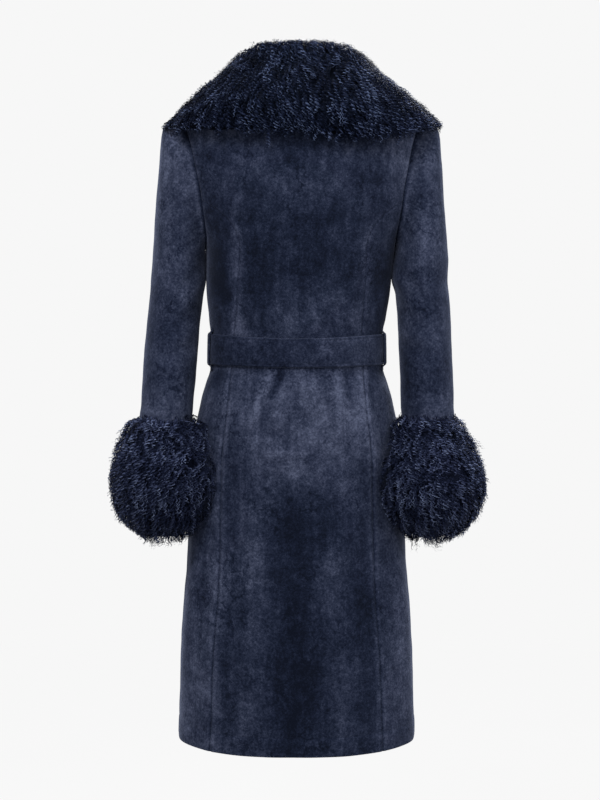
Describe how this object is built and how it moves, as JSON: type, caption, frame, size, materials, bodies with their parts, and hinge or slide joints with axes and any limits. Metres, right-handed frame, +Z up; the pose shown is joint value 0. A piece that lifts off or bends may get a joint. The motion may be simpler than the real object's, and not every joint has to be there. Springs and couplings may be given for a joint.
{
  "type": "long belted coat with fur collar and cuffs",
  "caption": "Long suede coat with a wide curly fur collar, fur cuffs and a tie belt, filled out as worn with no wearer.",
  "frame": {"origin": "on the coat's middle line, level with the side neck points of its shoulders, where the wearer's shoulders carry it", "axes": "+Z up, the coat's front faces -Y and its back +Y, +X is the wearer's left side"},
  "size_m": [0.5826, 0.2961, 1.0842],
  "materials": {
    "coat_cloth": "napped suede, matt, dark blue",
    "belt_cloth": "napped suede, matt, dark blue",
    "collar_fur": "long curly fur, soft gloss, near black blue",
    "cuff_fur": "long curly fur, soft gloss, near black blue"
  },
  "bodies": {
    "root": {"back_centre": "coat_cloth", "back_side_left": "coat_cloth", "back_side_right": "coat_cloth", "front_side_left": "coat_cloth", "front_side_right": "coat_cloth", "front_left": "coat_cloth", "front_right": "coat_cloth", "sleeve_left": "coat_cloth", "sleeve_right": "coat_cloth", "belt_band": "belt_cloth", "belt_knot": "belt_cloth", "belt_tail_left": "belt_cloth", "belt_tail_right": "belt_cloth", "belt_loop_left": "belt_cloth", "belt_loop_right": "belt_cloth", "collar_fur_back": "collar_fur", "collar_fur_left": "collar_fur", "collar_fur_right": "collar_fur", "cuff_fur_left": "cuff_fur", "cuff_fur_right": "cuff_fur"}
  },
  "joints": []
}
